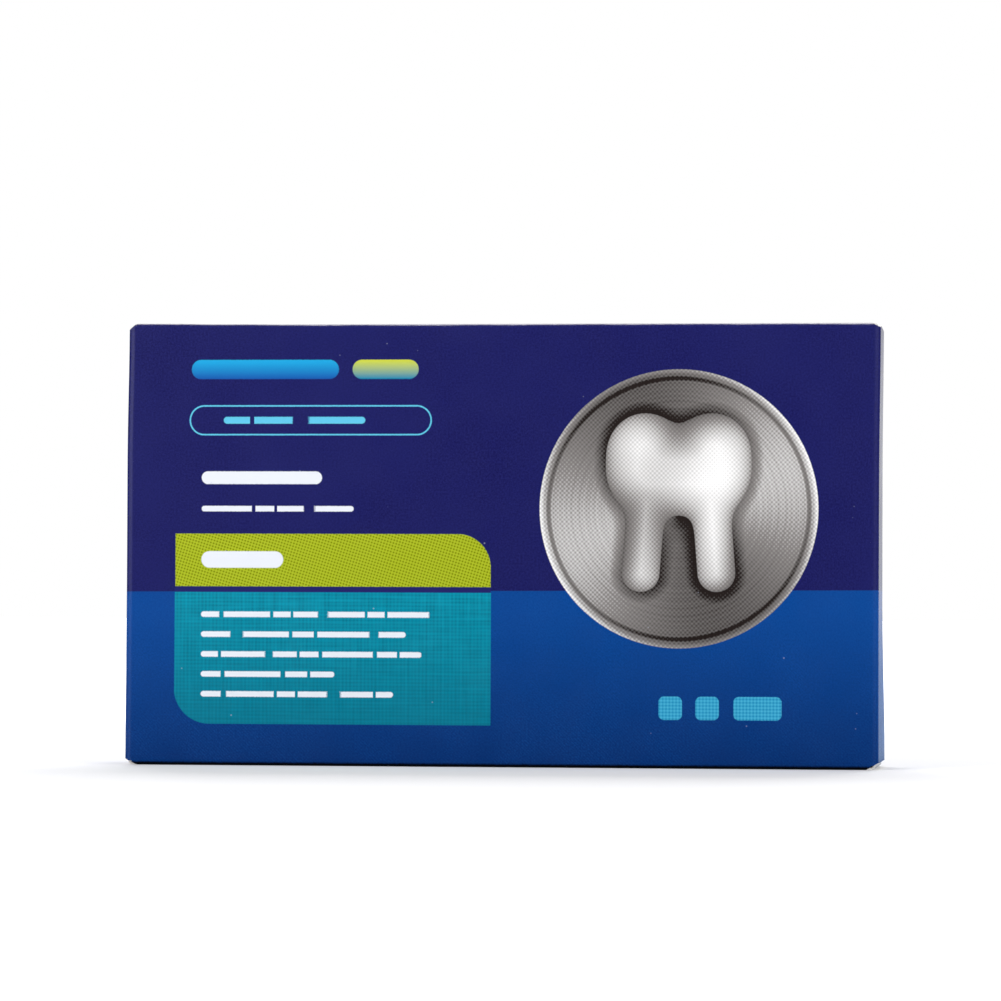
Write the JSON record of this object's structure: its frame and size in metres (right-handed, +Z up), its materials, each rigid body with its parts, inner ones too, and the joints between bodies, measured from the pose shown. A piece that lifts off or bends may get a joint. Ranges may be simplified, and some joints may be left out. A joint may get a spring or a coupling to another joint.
{
  "type": "tuck-end folding carton",
  "caption": "Small rectangular folding carton in gloss-laminated printed board, with tuck-in end flaps hinged on the front panel and dust flaps behind them.",
  "frame": {"origin": "centre of the bottom long panel, where the carton stands", "axes": "+Z up; X along the front panel; the front panel faces -Y"},
  "size_m": [0.137, 0.02, 0.08],
  "materials": {
    "printed_board": "coated board printed deep blue under gloss laminate, raw white board inside and on cut edges"
  },
  "bodies": {
    "carton": {"carton_sleeve": "printed_board"},
    "left_flap": {"left_end_flap": "printed_board", "left_tuck_tongue": "printed_board"},
    "right_flap": {"right_end_flap": "printed_board", "right_tuck_tongue": "printed_board"}
  },
  "joints": [
    {"name": "left_flap_hinge", "type": "hinge", "parent": "carton", "child": "left_flap", "pos_m": [-0.0685, -0.01, 0.04], "axis": [0, 0, 1], "range_deg": [0, 180], "deforming": ["left_tuck_tongue"]},
    {"name": "right_flap_hinge", "type": "hinge", "parent": "carton", "child": "right_flap", "pos_m": [0.0685, -0.01, 0.04], "axis": [0, 0, -1], "range_deg": [0, 180], "deforming": ["right_tuck_tongue"]}
  ]
}
